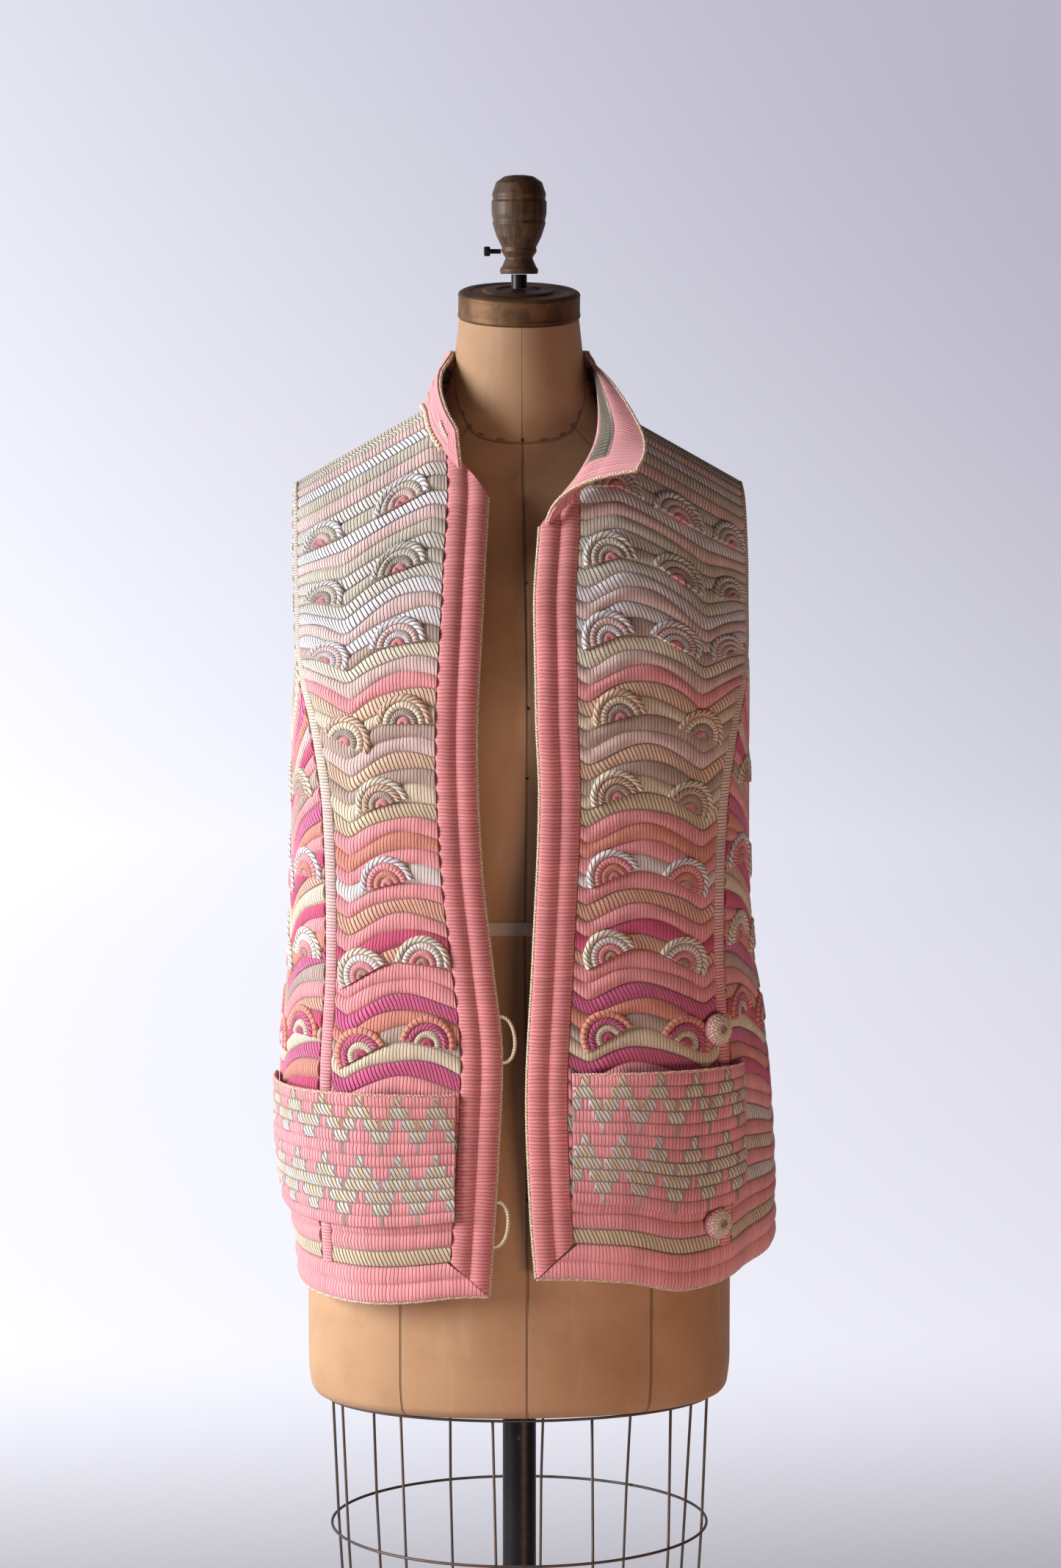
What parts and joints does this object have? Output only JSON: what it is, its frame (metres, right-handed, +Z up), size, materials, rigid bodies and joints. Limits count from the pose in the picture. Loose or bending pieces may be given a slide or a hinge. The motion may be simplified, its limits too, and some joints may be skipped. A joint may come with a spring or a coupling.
{
  "type": "crochet vest on a dress form",
  "caption": "Open-fronted sleeveless crochet vest with stand collar, patch pockets, loops and dome buttons, worn on a limbless dress form with turned finial, cage and round base",
  "frame": {"origin": "on the floor, under the middle of the round base", "axes": "+Z up, the vest's front faces -Y, the wearer's left is +X"},
  "size_m": [0.41, 0.41, 1.5796],
  "materials": {
    "crochet_body": "ribbed crochet of matt wool and lustrous rayon in sage, cream, taupe, peach and pink courses",
    "crochet_side": "ribbed crochet of matt wool and lustrous rayon in pink, coral and magenta courses",
    "crochet_pink": "padded pink wool ribs with upright stitches",
    "crochet_pocket": "pink wool rows with silver and gold zigzag rows",
    "button_cream": "cream crochet cotton and braided cord",
    "form_linen": "aged linen pasted on papier-mache, tan, worn smooth",
    "old_brass": "dark worn bronze-coloured brass",
    "turned_wood": "dark turned wood, worn polish",
    "black_iron": "black painted iron",
    "cage_wire": "dull dark wire"
  },
  "bodies": {
    "root": {"front_right": "crochet_body", "front_left": "crochet_body", "back": "crochet_body", "side_right": "crochet_side", "side_left": "crochet_side", "front_band_right": "crochet_pink", "front_band_left": "crochet_pink", "hem_border_right": "crochet_pink", "hem_border_left": "crochet_pink", "collar": "crochet_pink", "pocket_right": "crochet_pocket", "pocket_left": "crochet_pocket", "button_upper": "button_cream", "button_lower": "button_cream", "loop_upper": "button_cream", "loop_lower": "button_cream", "form_torso": "form_linen", "neck_cap": "old_brass", "finial": "turned_wood", "neck_rod": "black_iron", "finial_screw": "black_iron", "pole": "black_iron", "base": "black_iron", "cage_hoop_top": "cage_wire", "cage_hoop_middle": "cage_wire", "cage_hoop_bottom": "cage_wire", "cage_wire_01": "cage_wire", "cage_wire_02": "cage_wire", "cage_wire_03": "cage_wire", "cage_wire_04": "cage_wire", "cage_wire_05": "cage_wire", "cage_wire_06": "cage_wire", "cage_wire_07": "cage_wire", "cage_wire_08": "cage_wire", "cage_wire_09": "cage_wire", "cage_wire_10": "cage_wire", "cage_wire_11": "cage_wire", "cage_wire_12": "cage_wire"}
  },
  "joints": []
}
